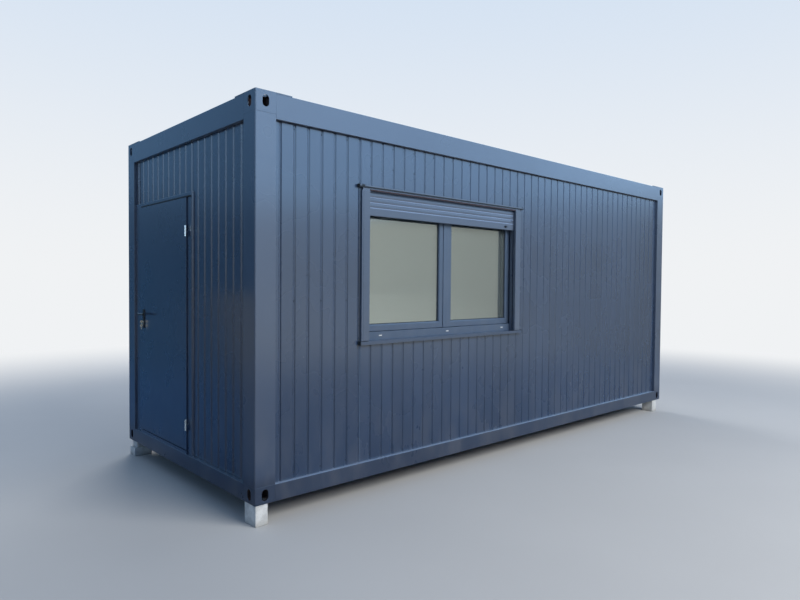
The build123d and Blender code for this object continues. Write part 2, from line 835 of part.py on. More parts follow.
wall_base = bottom_rail_height
side_end = length - post_size
end_end = width - post_size
upper = wall(window_left, window_right, shutter_back, wall_top, side_grooves())
pocket = block(
    (window_left, window_right), (shutter_front, lining_depth), (shutter_back, shutter_box_top)
)
window_hole = block((window_left, window_right), (0, rail_depth), (window_bottom, shutter_box_top))
parts["front_wall_left"] = wall(post_size, window_left, wall_base, wall_top, side_grooves())
parts["front_wall_right"] = wall(window_right, side_end, wall_base, wall_top, side_grooves())
parts["front_wall_under_window"] = wall(
    window_left, window_right, wall_base, window_bottom, side_grooves()
)
parts["front_wall_over_window"] = upper - pocket
parts["front_wall_lining"] = lining(post_size, side_end, wall_base, wall_top) - window_hole
parts["back_wall"] = to_back(wall(post_size, side_end, wall_base, wall_top, side_grooves()))
parts["back_wall_lining"] = to_back(lining(post_size, side_end, wall_base, wall_top))
parts["far_end_wall"] = to_far(to_end(wall(post_size, end_end, wall_base, wall_top, end_grooves())))
parts["far_end_wall_lining"] = to_far(to_end(lining(post_size, end_end, wall_base, wall_top)))
parts["door_wall_wide"] = to_end(wall(post_size, doorway_low, wall_base, wall_top, end_grooves()))
parts["door_wall_narrow"] = to_end(wall(doorway_high, end_end, wall_base, wall_top, end_grooves()))
parts["door_wall_over_door"] = to_end(
    wall(doorway_low, doorway_high, doorway_top, wall_top, end_grooves())
)
doorway = block((doorway_low, doorway_high), (0, rail_depth), (wall_base, doorway_top))
parts["door_wall_lining"] = to_end(lining(post_size, end_end, wall_base, wall_top) - doorway)

left_sash, right_sash, left_glass, right_glass = sashes()
parts["window_frame"] = window_frame()
parts["window_sash_left"] = left_sash
parts["window_sash_right"] = right_sash
parts["window_glass"] = Compound([left_glass, right_glass])
parts["window_handle"] = window_handle()
parts["window_sill"] = window_sill()
parts["window_drip_cap"] = drip_cap()
parts["shutter_box"] = shutter_box()
parts["shutter_curtain"] = shutter_curtain()
parts["shutter_bottom_bar"] = bottom_bar()
parts["shutter_guide_left"] = shutter_guide()
parts["shutter_guide_right"] = mirrored(shutter_guide())

parts["door_frame"] = door_frame()
parts["door_threshold"] = threshold()
parts["door_leaf"] = door_leaf()
parts["door_hinges_fixed"] = Compound([hinge_fixed(centre) for centre in hinge_heights])
parts["door_hinges_moving"] = Compound([hinge_moving(centre) for centre in hinge_heights])
parts["door_furniture_plates"] = Compound(furniture_plates())
parts["door_lock_cylinder"] = lock_cylinder()
parts["door_keys"] = keys()
parts["door_levers"] = levers()

parts["foundation_blocks"] = Compound(foundation_blocks())
parts["packing_block"] = packing_block()

# The origin lies under the middle of the whole cabin, its lever included.
shift = Pos(handle_reach / 2 - length / 2, -width / 2, block_height)
os.makedirs("parts", exist_ok=True)
for name, shape in parts.items():
    export_step(shift * shape, f"parts/{name}.step")
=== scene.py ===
"""Portable site cabin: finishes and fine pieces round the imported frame, laid out as an add-on."""

import json
import math

import bmesh
import bpy
from bpy.props import FloatProperty, FloatVectorProperty, IntProperty, PointerProperty
from bpy.types import NodeSocket, Operator, Panel, PropertyGroup, Scene
from mathutils import Matrix, Vector, noise

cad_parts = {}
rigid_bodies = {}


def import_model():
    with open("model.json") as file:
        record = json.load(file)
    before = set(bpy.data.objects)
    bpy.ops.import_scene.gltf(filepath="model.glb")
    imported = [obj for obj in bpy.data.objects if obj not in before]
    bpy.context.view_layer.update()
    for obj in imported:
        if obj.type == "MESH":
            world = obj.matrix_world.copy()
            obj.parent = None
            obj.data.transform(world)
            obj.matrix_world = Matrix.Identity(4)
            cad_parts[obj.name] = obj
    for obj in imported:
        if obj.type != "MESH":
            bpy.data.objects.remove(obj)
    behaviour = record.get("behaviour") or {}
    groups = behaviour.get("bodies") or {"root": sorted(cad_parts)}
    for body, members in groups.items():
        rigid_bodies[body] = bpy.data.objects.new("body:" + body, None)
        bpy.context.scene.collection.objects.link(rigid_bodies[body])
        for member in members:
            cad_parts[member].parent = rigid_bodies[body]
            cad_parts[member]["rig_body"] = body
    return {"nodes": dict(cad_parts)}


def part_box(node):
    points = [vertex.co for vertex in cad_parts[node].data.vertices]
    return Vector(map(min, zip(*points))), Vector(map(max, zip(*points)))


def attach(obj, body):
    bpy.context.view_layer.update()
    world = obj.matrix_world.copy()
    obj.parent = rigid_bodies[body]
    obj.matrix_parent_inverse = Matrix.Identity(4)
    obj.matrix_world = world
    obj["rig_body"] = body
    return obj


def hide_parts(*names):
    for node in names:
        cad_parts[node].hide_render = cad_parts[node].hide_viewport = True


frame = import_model()

bl_info = {
    "name": "Portable site cabin",
    "version": (1, 0, 0),
    "blender": (4, 5, 0),
    "location": "3D View > Sidebar > Cabin",
    "description": "Dresses the packed site cabin and sets its stage",
    "category": "Object",
}


def srgb(red, green, blue):
    """A colour given from 0 to 255 as linear values."""
    values = [v / 255 for v in (red, green, blue)]
    return tuple(v / 12.92 if v <= 0.04045 else ((v + 0.055) / 1.055) ** 2.4 for v in values)


def colour_setting(name, description, *values):
    return FloatVectorProperty(
        name=name, description=description, subtype="COLOR", size=3, min=0, max=1, default=srgb(*values)
    )


def number_setting(name, description, value, least=0, **options):
    return FloatProperty(name=name, description=description, default=value, min=least, **options)


def length_setting(name, description, value):
    return number_setting(name, description, value, unit="LENGTH")


def power_setting(name, description, value):
    return number_setting(name, description, value, unit="POWER")


class CabinFinishes(PropertyGroup):
    frame_paint: colour_setting("Frame paint", "Satin paint on the steel frame", 60, 73, 94)
    cladding_paint: colour_setting("Cladding paint", "Coating of the wall sheets", 43, 59, 83)
    door_paint: colour_setting("Door paint", "Coating of the door leaf", 43, 60, 84)
    window_foil: colour_setting("Window profiles", "Foil on the frame and sashes", 66, 80, 99)
    shutter_lacquer: colour_setting("Shutter lacquer", "Lacquer on the slats and guides", 68, 80, 98)
    glass_tint: colour_setting("Glass tint", "Body colour of the panes", 150, 162, 160)
    sill_paint: colour_setting("Sill paint", "Coating of the sill", 44, 58, 80)
    primer: colour_setting("Primer", "Red-brown primer inside the fittings", 66, 50, 48)
    zinc: colour_setting("Zinc", "Galvanised steel", 168, 173, 178)
    lining: colour_setting("Lining", "White faced boards inside", 226, 227, 222)
    deck: colour_setting("Floor covering", "Grey covering of the deck", 116, 120, 122)
    plywood: colour_setting("Deck board", "Underside of the deck", 138, 108, 78)
    furniture: colour_setting("Furniture", "Black levers and plates", 20, 21, 23)
    nickel: colour_setting("Nickel", "Lock cylinder and keys", 196, 190, 178)
    rubber: colour_setting("Rubber", "Seals and caps", 22, 23, 25)
    brush: colour_setting("Brush", "Brush over the shutter's mouth", 54, 42, 45)
    concrete: colour_setting("Concrete", "Loose blocks", 206, 207, 204)
    dust: colour_setting("Dust", "Dust on the lowest parts", 150, 144, 133)
    dust_height: length_setting("Dust height", "How far up the dust reaches", 0.9)


class CabinDetails(PropertyGroup):
    groove_pitch: length_setting("Groove pitch", "Distance between the wall sheets' grooves", 0.11733)
    groove_depth: length_setting("Groove depth", "How far screws sit behind a wall sheet's face", 0.009)
    end_groove_start: length_setting("End groove start", "First groove of an end wall from its corner", 0.25)
    steel_rounding: length_setting("Steel rounding", "Radius of the frame's edges", 0.002)
    fold_rounding: length_setting("Fold rounding", "Radius of the wall sheets' folds", 0.0035)
    profile_rounding: length_setting("Profile rounding", "Radius of the window profiles' edges", 0.0018)
    screw_radius: length_setting("Screw radius", "Radius of a wall screw's head", 0.006)
    slat_pitch: length_setting("Slat pitch", "Height of one shutter slat", 0.041)
    slat_shoulder: length_setting("Slat shoulder", "Radius of a slat's rounded top", 0.0055)
    gasket: length_setting("Gasket", "Width of the rubber at the panes", 0.006)
    skirting_height: length_setting("Skirting height", "Height of the skirting inside", 0.06)
    roof_screw_pitch: length_setting("Roof screw pitch", "Distance between roof screws", 0.25)
    chip_depth: length_setting("Chip depth", "Deepest chip in a block's edge", 0.012)
    block_cuts: IntProperty(name="Block cuts", description="How finely the blocks are cut up", default=22)
    chip_seed: IntProperty(name="Chip seed", description="Picks where the blocks are chipped", default=7)


class CabinStage(PropertyGroup):
    floor: colour_setting("Floor", "Plain pale floor", 184, 183, 180)
    mirrored_floor: colour_setting("Mirrored floor", "What gloss mirrors of the floor", 87, 86, 84)
    backdrop_low: colour_setting("Backdrop low", "Backdrop near the horizon", 240, 242, 244)
    backdrop_high: colour_setting("Backdrop high", "Backdrop overhead", 205, 222, 242)
    mirrored_low: colour_setting("Mirrored low", "What gloss mirrors at eye level", 138, 142, 138)
    mirrored_high: colour_setting("Mirrored high", "What gloss mirrors overhead", 176, 216, 255)
    mirrored_gain: number_setting("Mirrored gain", "How much brighter gloss mirrors the window side", 3.9)
    mirrored_door_end: colour_setting("Mirrored door end", "What gloss mirrors beyond the door end",
                                      24, 80, 122)
    door_end_shade: number_setting("Door end shade", "How far that darkens what gloss mirrors", 0.9, max=1)
    ambient: colour_setting("Ambient", "Light from all round", 140, 176, 232)
    ambient_strength: number_setting("Ambient strength", "Level of the light from all round", 0.4)
    key_power: power_setting("Key power", "Soft light on the window side", 1250)
    fill_power: power_setting("Fill power", "Soft light on the door end", 35)
    back_power: power_setting("Back power", "Soft light from behind", 1200)
    ground_power: power_setting("Ground power", "Soft light on the floor beyond the door end", 50)
    lens: number_setting("Lens", "Focal length in millimetres", 27.588, least=1)
    eye: FloatVectorProperty(name="Eye", description="Where the camera stands", subtype="TRANSLATION",
                             size=3, default=(-5.0577, -4.9135, 1.6704))
    turn: FloatVectorProperty(name="Turn", description="Yaw, pitch and roll in degrees", size=3,
                              default=(-42.427, -1.5368, 0.4551))


def settings():
    scene = bpy.context.scene
    return scene.cabin_finishes, scene.cabin_details, scene.cabin_stage


# Materials


def shade(colour, factor):
    return tuple(min(1, v * factor) for v in colour)


class Recipe:
    """Shader nodes added one by one, for a material on object coordinates or for the world."""

    def __init__(self, name, shelf="materials", where="Object"):
        self.owner = getattr(bpy.data, shelf).new(name)
        self.owner.use_nodes = True
        self.tree = self.owner.node_tree
        self.tree.nodes.clear()
        self.place = self.add("ShaderNodeTexCoord").outputs[where]
        self.axes = tuple(self.add("ShaderNodeSeparateXYZ", {0: self.place}).outputs)

    def add(self, kind, inputs=None, **options):
        made = self.tree.nodes.new(kind)
        for option, value in options.items():
            setattr(made, option, value)
        for socket, value in (inputs or {}).items():
            target = made.inputs[socket]
            if isinstance(value, NodeSocket):
                self.tree.links.new(value, target)
            else:
                target.default_value = (*value, 1) if target.type == "RGBA" else value
        return made

    def cloud(self, scale, detail=3, stretch=None):
        place = self.place
        if stretch:
            place = self.add("ShaderNodeMapping", {"Vector": place, "Scale": stretch}).outputs[0]
        return self.add("ShaderNodeTexNoise", {"Vector": place, "Scale": scale, "Detail": detail}).outputs[0]

    def level(self, value, low, high, start=0.0, end=1.0, kind="SMOOTHSTEP"):
        """A value between low and high, smoothly turned into one between start and end."""
        inputs = {0: value, 1: low, 2: high, 3: start, 4: end}
        return self.add("ShaderNodeMapRange", inputs, interpolation_type=kind).outputs[0]

    def ramp(self, value, low, high, start, end):
        """The same in a straight line."""
        return self.level(value, low, high, start, end, "LINEAR")

    def drift(self, scale, detail, start, end):
        """A value that wanders between two others."""
        return self.level(self.cloud(scale, detail), 0.3, 0.7, start, end)

    def maths(self, operation, value, *others):
        """The operation on a value and each of the others in turn."""
        for other in others or (0.0,):
            value = self.add("ShaderNodeMath", {0: value, 1: other}, operation=operation).outputs[0]
        return value

    def times(self, *values):
        return self.maths("MULTIPLY", *values)

    def blend(self, share, first, second, kind="MIX"):
        inputs = {0: share, 6: first, 7: second}
        return self.add("ShaderNodeMix", inputs, data_type="RGBA", blend_type=kind).outputs[2]

    def tones(self, pattern, colour, darker, lighter, low=0.3, high=0.7):
        """Two tones of a colour that follow a pattern."""
        return self.blend(self.level(pattern, low, high), shade(colour, darker), shade(colour, lighter))

    def dimmed(self, colour, factor):
        """The colour times a value."""
        grey = self.add("ShaderNodeCombineColor", {0: factor, 1: factor, 2: factor}).outputs[0]
        return self.blend(1.0, colour, grey, "MULTIPLY")

    def bump(self, height, distance, strength=1.0, under=None):
        inputs = {"Height": height, "Distance": distance, "Strength": strength}
        if under:
            inputs["Normal"] = under
        return self.add("ShaderNodeBump", inputs).outputs[0]

    def surface(self, colour, roughness, normal=None, **values):
        inputs = {"Base Color": colour, "Roughness": roughness}
        if normal:
            inputs["Normal"] = normal
        inputs.update({name.replace("_", " "): value for name, value in values.items()})
        return self.add("ShaderNodeBsdfPrincipled", inputs).outputs[0]

    def over(self, share, under, upper):
        """One shader laid over another."""
        return self.add("ShaderNodeMixShader", {0: share, 1: under, 2: upper}).outputs[0]

    def watched(self):
        """Whether gloss mirrors a point, and whether it is seen in any way."""
        path = self.add("ShaderNodeLightPath").outputs
        rays = [path[f"Is {kind} Ray"] for kind in ("Camera", "Glossy", "Transmission")]
        return rays[1], self.maths("MAXIMUM", *rays)

    def done(self, shader, output="ShaderNodeOutputMaterial"):
        self.add(output, {0: shader})
        return self.owner

    def finished(self, colour, roughness, normal=None, **values):
        return self.done(self.surface(colour, roughness, normal, **values))


def dusty(recipe, colour, amount, reach, foot=0.12):
    """The colour with dust on its lowest part, and how dusty each place is."""
    fade = recipe.level(recipe.axes[2], foot, foot + reach, 1.0, 0.0)
    patch = recipe.level(recipe.cloud(7, 5, (1, 1, 0.45)), 0.38, 0.72)
    share = recipe.times(fade, patch, amount)
    return recipe.blend(share, colour, settings()[0].dust), share


def painted(recipe, colour, roughness=0.3, peel=0.00015, dust_share=0.1, tone=None):
    """Sprayed paint, nearly new: slow tone changes, a little low dust and a fine peel."""
    base = recipe.tones(recipe.cloud(0.9, 2), colour, 0.95, 1.05)
    # tone adds painted shade and a painted ledge highlight on the frame paint, and a random tone per strip on the
    # cladding
    if tone:
        base = tone(recipe, base)
    base, dust = dusty(recipe, base, dust_share, settings()[0].dust_height)
    rough = recipe.maths("ADD", recipe.drift(3, 2, roughness - 0.03, roughness + 0.04), dust)
    wave = recipe.bump(recipe.cloud(2.4, 1, (1, 1, 0.35)), 0.003, 0.08)
    normal = recipe.bump(recipe.cloud(520, 2), peel, 0.35, wave)
    return recipe.finished(base, rough, normal, Coat_Weight=0.8, Coat_Roughness=0.12)


def cladding_paint(recipe, axis, start):
    """Coil-coated wall sheet: each strip between two grooves has its own slight tone."""
    finishes, details, _ = settings()

    def strips(recipe, base):
        along = recipe.maths("SUBTRACT", recipe.axes[axis], start)
        strip = recipe.maths("FLOOR", recipe.maths("DIVIDE", along, details.groove_pitch))
        chance = recipe.add("ShaderNodeTexWhiteNoise", {1: strip}, noise_dimensions="1D").outputs[0]
        return recipe.dimmed(base, recipe.level(chance, 0, 1, 0.955, 1.045))

    return painted(recipe, finishes.cladding_paint, 0.27, 0.0001, 0.08, strips)


def painted_light_on_low_steel(recipe, base, ledge_highlight=0.55):
    """Painted shade on low steel, for the shaded floor it mirrors, and a painted highlight on the rails' ledges,
    for light from above.
    """
    x, _, z = recipe.axes
    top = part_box("bottom_rail_front")[1].z
    # shaded is the painted shade colour near the ground, sky the painted highlight colour on the ledges
    fade, shaded, sky = 0.1, (0.6, 0.62, 0.66), srgb(150, 168, 196)
    base = recipe.blend(recipe.level(z, top - 0.004, top + fade, 1.0, 0.0), base, shaded, "MULTIPLY")
    # upward faces just below the rails' top get the painted highlight, less of it near the door end
    normal = recipe.add("ShaderNodeNewGeometry").outputs["Normal"]
    upward = recipe.add("ShaderNodeSeparateXYZ", {0: normal}).outputs[2]
    upward_highlight = recipe.level(upward, 0.3, 0.8, 0.0, ledge_highlight)
    below = recipe.maths("LESS_THAN", z, top + 0.01)
    past_door_end = recipe.level(x, -2.9, -2.85, 0.1, 1.0)
    return recipe.blend(recipe.times(upward_highlight, below, past_door_end), base, sky)


def fitting_paint(recipe, box, wall):
    """Frame paint outside, and the primer where a hook or lock enters the fitting."""
    finishes = settings()[0]
    deep = []
    for place, low, high in zip(recipe.axes, *box):
        away = recipe.maths("ABSOLUTE", recipe.maths("SUBTRACT", place, (low + high) / 2))
        deep.append(recipe.maths("LESS_THAN", away, (high - low) / 2 - wall))
    inside = recipe.times(*deep)
    # frame paint darkened near the ground as painted shade; no painted ledge highlight here
    paint = painted_light_on_low_steel(recipe, recipe.tones(recipe.cloud(0.9, 2), finishes.frame_paint, 0.95, 1.05), 0.0)
    primer = recipe.tones(recipe.cloud(40, 5), finishes.primer, 0.6, 1.15, 0.4, 0.65)
    rough = recipe.level(inside, 0, 1, 0.31, 0.75)
    coating = recipe.level(inside, 0, 1, 0.8, 0.0)
    normal = recipe.bump(recipe.cloud(260, 3), 0.0004, 0.3)
    base = recipe.blend(inside, paint, primer)
    return recipe.finished(base, rough, normal, Coat_Weight=coating, Coat_Roughness=0.12)


def zinc_sheet(recipe, colour, dust_share=0.25):
    """Galvanised steel with its spangle and dull patches."""
    cell = recipe.add("ShaderNodeTexVoronoi", {"Vector": recipe.place, "Scale": 70}).outputs["Color"]
    flake = recipe.add("ShaderNodeSeparateColor", {0: cell}).outputs[0]
    dull = recipe.level(recipe.cloud(4, 5), 0.4, 0.7, 0.0, dust_share)
    base = recipe.blend(dull, recipe.blend(flake, shade(colour, 0.8), shade(colour, 1.15)), settings()[0].dust)
    rough = recipe.maths("ADD", recipe.level(flake, 0, 1, 0.42, 0.56), dull)
    return recipe.finished(base, rough, recipe.bump(recipe.cloud(160, 3), 0.0002, 0.4), Metallic=0.35)


def hinge_finish(recipe, zinc, paint):
    """Bright barrels between painted leaves."""
    fixed, moving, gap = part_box("door_hinges_fixed"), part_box("door_hinges_moving"), 0.0005
    y = recipe.axes[1]
    barrel = recipe.times(recipe.maths("GREATER_THAN", y, moving[0].y - gap),
                          recipe.maths("LESS_THAN", y, fixed[1].y + gap))
    wipe = recipe.drift(90, 3, 0.85, 1.1)
    base = recipe.dimmed(recipe.blend(barrel, paint, zinc), wipe)
    return recipe.finished(base, 0.26, recipe.bump(wipe, 0.0001, 0.3), Metallic=recipe.times(barrel, 0.85))


def board(recipe, colour, axis, start=0.0, pitch=1.04):
    """White faced board with thin butt joints and a faint grain."""
    along = recipe.maths("SUBTRACT", recipe.axes[axis], start)
    joint = recipe.level(recipe.maths("PINGPONG", along, pitch / 2), 0.0015, 0.004, 1.0, 0.0)
    base = recipe.tones(recipe.cloud(2.5, 4), colour, 0.95, 1.0)
    base = recipe.blend(recipe.times(joint, 0.55), base, shade(colour, 0.35))
    grain = recipe.bump(recipe.cloud(220, 2), 0.0003, 0.3)
    return recipe.finished(base, recipe.drift(9, 3, 0.4, 0.5), recipe.bump(joint, -0.002, 0.6, grain))


def floor_covering(recipe, colour, board_colour, top):
    """Speckled sheet floor above, plywood below."""
    face = recipe.tones(recipe.cloud(520, 2), colour, 0.88, 1.25, 0.52, 0.62)
    wear = recipe.level(recipe.cloud(1.8, 5), 0.45, 0.75, 0.0, 0.35)
    face = recipe.blend(wear, face, shade(colour, 1.4))
    plywood = recipe.tones(recipe.cloud(8, 6, (1, 14, 14)), board_colour, 0.7, 1.15)
    upper = recipe.maths("GREATER_THAN", recipe.axes[2], top - 0.004)
    base = recipe.blend(upper, plywood, face)
    return recipe.finished(base, recipe.level(wear, 0, 0.35, 0.5, 0.62),
                           recipe.bump(recipe.cloud(300, 2), 0.0002, 0.4))


def window_foil(recipe, colour):
    """Foiled window profile with a fine upright grain."""
    grain = recipe.cloud(3, 5, (160, 160, 12))
    base, dust = dusty(recipe, recipe.tones(grain, colour, 0.93, 1.08), 0.1, 2.5)
    rough = recipe.maths("ADD", recipe.level(grain, 0.3, 0.7, 0.34, 0.44), dust)
    normal = recipe.bump(grain, 0.00025, 0.4)
    return recipe.finished(base, rough, normal, Coat_Weight=0.1, Coat_Roughness=0.2)


def pane_glass(recipe, tint):
    """Double glazing that mirrors its surroundings more than it shows the room."""
    smear = recipe.level(recipe.cloud(2.2, 5, (1, 1, 0.5)), 0.42, 0.8, 0.015, 0.06)
    wave = recipe.bump(recipe.cloud(2.6, 2), 0.0015, 0.1)
    clear = recipe.surface(tint, smear, wave, Transmission_Weight=0.8, IOR=1.45)
    mirror = recipe.add("ShaderNodeBsdfGlossy", {0: (0.88, 0.9, 0.87), 1: smear, "Normal": wave}).outputs[0]
    return recipe.done(recipe.over(0.23, clear, mirror))


def lacquered(recipe, colour):
    """Smooth lacquer on rolled aluminium, with the rolling lines along X."""
    line = recipe.cloud(2, 4, (0.8, 120, 120))
    base, dust = dusty(recipe, recipe.tones(line, colour, 0.94, 1.07), 0.12, 2.8)
    rough = recipe.maths("ADD", recipe.drift(6, 3, 0.27, 0.36), dust)
    normal = recipe.bump(line, 0.0002, 0.3)
    return recipe.finished(base, rough, normal, Coat_Weight=0.2, Coat_Roughness=0.15)


def moulded(recipe, colour, roughness, grain=700):
    """Moulded plastic or rubber with a fine matt grain and scuffs."""
    scuff = recipe.level(recipe.cloud(30, 5), 0.5, 0.75, 0.0, 0.4)
    base = recipe.blend(scuff, colour, shade(colour, 1.9))
    worn = recipe.times(scuff, 0.3)
    rough = recipe.maths("ADD", recipe.drift(90, 3, roughness - 0.06, roughness + 0.06), worn)
    return recipe.finished(base, rough, recipe.bump(recipe.cloud(grain, 2), 0.0002, 0.5))


def turned_metal(recipe, colour):
    """Nickel-plated brass with fine turning marks and finger marks."""
    mark = recipe.cloud(30, 4, (1, 30, 30))
    base, rough = recipe.tones(mark, colour, 0.85, 1.1), recipe.drift(60, 4, 0.2, 0.4)
    return recipe.finished(base, rough, recipe.bump(mark, 0.0001, 0.3), Metallic=1.0)


def bristles(recipe, colour):
    """Brush hairs packed side by side."""
    hair = recipe.cloud(4, 4, (220, 40, 4))
    base = recipe.tones(hair, colour, 0.5, 1.3, 0.35, 0.65)
    return recipe.finished(base, 0.8, recipe.bump(hair, 0.002, 0.8))


def cast_concrete(recipe, colour, ground):
    """Cast concrete with air holes darkened as painted shade, stains and dust at its foot."""
    patch, grit = recipe.cloud(14, 6), recipe.cloud(190, 4)
    base = recipe.tones(patch, colour, 0.78, 1.12)
    base = recipe.blend(recipe.level(grit, 0.55, 0.7, 0.0, 0.4), base, shade(colour, 0.5))
    hole = recipe.add("ShaderNodeTexVoronoi", {"Vector": recipe.place, "Scale": 85}).outputs["Distance"]
    pit = recipe.level(hole, 0.08, 0.2, 1.0, 0.0)
    # air holes darkened: painted shade in the holes
    base = recipe.blend(recipe.times(pit, 0.45), base, shade(colour, 0.3))
    foot = recipe.times(recipe.level(recipe.axes[2], 0.0, 0.06, 1.0, 0.0), recipe.level(patch, 0.3, 0.6), 0.6)
    base = recipe.blend(foot, base, ground)
    normal = recipe.bump(patch, 0.004, 0.5)
    normal = recipe.bump(grit, 0.0015, 0.6, normal)
    normal = recipe.bump(pit, -0.003, 0.7, normal)
    return recipe.finished(base, recipe.level(grit, 0.3, 0.7, 0.82, 0.95), normal)


MIXED = {}


def mixed(name):
    """The finish of that name, mixed when it is first asked for."""
    if name not in MIXED:
        recipe = Recipe(name)
        finishes, details, _ = settings()
        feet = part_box("bottom_corner_fittings")
        middle = sum(corner.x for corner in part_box("back_wall")) / 2
        recipes = {
            # frame paint carries painted shade near the ground and a painted highlight on the rails' ledges; the
            # foot fittings' paint carries the painted shade
            "frame paint": lambda: painted(recipe, finishes.frame_paint, tone=painted_light_on_low_steel),
            "side cladding": lambda: cladding_paint(recipe, 0, middle),
            "end cladding": lambda: cladding_paint(recipe, 1, feet[0].y + details.end_groove_start),
            "top fitting paint": lambda: fitting_paint(recipe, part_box("top_corner_fittings"), wall=0.012),
            "foot fitting paint": lambda: fitting_paint(recipe, feet, wall=0.004),
            "door paint": lambda: painted(
                recipe, finishes.door_paint, roughness=0.28, peel=0.0001, dust_share=0.08),
            "window foil": lambda: window_foil(recipe, finishes.window_foil),
            "glass": lambda: pane_glass(recipe, finishes.glass_tint),
            "shutter lacquer": lambda: lacquered(recipe, finishes.shutter_lacquer),
            # the slats' rounded tops in a lacquer 2.6 times lighter: a painted highlight
            "slat edge": lambda: lacquered(recipe, shade(finishes.shutter_lacquer, 2.6)),
            "zinc": lambda: zinc_sheet(recipe, finishes.zinc),
            "bright zinc": lambda: zinc_sheet(recipe, shade(finishes.zinc, 1.5), dust_share=0.05),
            "hinge": lambda: hinge_finish(recipe, shade(finishes.zinc, 2.4), finishes.door_paint),
            "side lining": lambda: board(recipe, finishes.lining, 0, middle),
            "end lining": lambda: board(recipe, finishes.lining, 1),
            "floor": lambda: floor_covering(recipe, finishes.deck, finishes.plywood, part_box("floor_deck")[1].z),
            "furniture": lambda: moulded(recipe, finishes.furniture, roughness=0.36),
            "rubber": lambda: moulded(recipe, finishes.rubber, roughness=0.7, grain=400),
            "nickel": lambda: turned_metal(recipe, finishes.nickel),
            "brush": lambda: bristles(recipe, finishes.brush),
            "concrete": lambda: cast_concrete(recipe, finishes.concrete, finishes.dust),
            "sill paint": lambda: painted(recipe, finishes.sill_paint, roughness=0.4),
            "screw": lambda: painted(
                recipe, shade(finishes.cladding_paint, 0.25), roughness=0.5, peel=0.0001, dust_share=0.05),
            "trim": lambda: moulded(recipe, shade(finishes.lining, 0.8), roughness=0.45),
        }
        MIXED[name] = recipes[name]()
    return MIXED[name]


# Shaping


def slab(bm, low, high):
    """Add a box between two corners."""
    low, high = Vector(low), Vector(high)
    made = bmesh.ops.create_cube(bm, size=1)["verts"]
    bmesh.ops.scale(bm, verts=made, vec=high - low)
    bmesh.ops.translate(bm, verts=made, vec=(low + high) / 2)
    return made


def stud(bm, centre, direction, radius, height, top=0.6, segments=10):
    """Add a small turned head that stands on a face; top is its far end's share of the radius."""
    direction = Vector(direction)
    place = Matrix.Translation(Vector(centre) + direction * height / 2)
    return bmesh.ops.create_cone(
        bm, cap_ends=True, segments=segments, radius1=radius, radius2=radius * top, depth=height,
        matrix=place @ direction.to_track_quat("Z", "Y").to_matrix().to_4x4(),
    )["verts"]


def window_ring(bm, low, high, border):
    """Add a flat upright ring: its outer corners in x and z, and its two faces in y."""
    made = bmesh.ops.create_grid(bm, x_segments=1, y_segments=1, size=0.5)["verts"]
    bmesh.ops.rotate(bm, verts=made, matrix=Matrix.Rotation(math.radians(90), 3, "X"))
    bmesh.ops.scale(bm, verts=made, vec=(high[0] - low[0], 1, high[2] - low[2]))
    bmesh.ops.translate(bm, verts=made, vec=((low[0] + high[0]) / 2, low[1], (low[2] + high[2]) / 2))
    face = made[0].link_faces[0]
    rim = bmesh.ops.inset_individual(bm, faces=[face], thickness=border)["faces"]
    bmesh.ops.delete(bm, geom=[face], context="FACES_ONLY")
    raised = bmesh.ops.extrude_face_region(bm, geom=rim)["geom"]
    moved = [g for g in raised if isinstance(g, bmesh.types.BMVert)]
    bmesh.ops.translate(bm, verts=moved, vec=(0, high[1] - low[1], 0))


def bevel(bm, edges, width, segments):
    bmesh.ops.bevel(
        bm, geom=edges, offset=width, offset_type="OFFSET", segments=segments, profile=0.5,
        affect="EDGES", material=-1, clamp_overlap=True,
    )


def round_edges(bm, width, segments=2, steeper=28):
    """Round every edge that turns by more than a few degrees."""
    sharp = [e for e in bm.edges if e.is_manifold and e.calc_face_angle(0) > math.radians(steeper)]
    if sharp:
        bevel(bm, sharp, width, segments)


def slabs(boxes, rounding=None):
    """A shape made of boxes, each between two corners."""
    bm = bmesh.new()
    for low, high in boxes:
        slab(bm, low, high)
    if rounding:
        round_edges(bm, rounding)
    return bm


def placed(name, data):
    """An object in the scene, made of that data."""
    made = bpy.data.objects.new(name, data)
    bpy.context.scene.collection.objects.link(made)
    return made


def meshed(bm, name, material):
    """The shape as a mesh of one material."""
    mesh = bpy.data.meshes.new(name)
    bm.to_mesh(mesh)
    bm.free()
    mesh.materials.append(material)
    return mesh


def add_piece(bm, name, finish, nodes=(), body="cabin", sharp=27):
    """Turn the shape into a piece that rides on a body."""
    bmesh.ops.recalc_face_normals(bm, faces=bm.faces)
    mesh = meshed(bm, name, mixed(finish))
    mesh.polygons.foreach_set("use_smooth", [True] * len(mesh.polygons))
    mesh.set_sharp_from_angle(angle=math.radians(sharp))
    piece = placed(name, mesh)
    flats = piece.modifiers.new("flat faces", "WEIGHTED_NORMAL")
    flats.weight = 100
    flats.keep_sharp = True
    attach(piece, body)
    if nodes:
        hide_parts(*nodes)


def welded(node):
    """A copy of a node's mesh with its loose triangles joined."""
    bm = bmesh.new()
    bm.from_mesh(frame["nodes"][node].data)
    bmesh.ops.remove_doubles(bm, verts=bm.verts, dist=0.00002)
    return bm


def merged(node):
    """A welded copy of a node's mesh with its flat faces whole."""
    bm = welded(node)
    bmesh.ops.dissolve_limit(bm, angle_limit=math.radians(0.5), verts=bm.verts, edges=bm.edges)
    return bm


def soften(prefix, nodes, width, finish, segments=2, steeper=40):
    """Stand a copy with rounded edges in for each node."""
    for node in nodes:
        bm = merged(node)
        round_edges(bm, width, segments, steeper)
        add_piece(bm, f"{prefix}_{node}", finish, [node], frame["nodes"][node]["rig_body"])


def coat(nodes, finish):
    """Give nodes a finish as they are."""
    for node in nodes:
        slots = frame["nodes"][node].data.materials
        slots.clear()
        slots.append(mixed(finish))


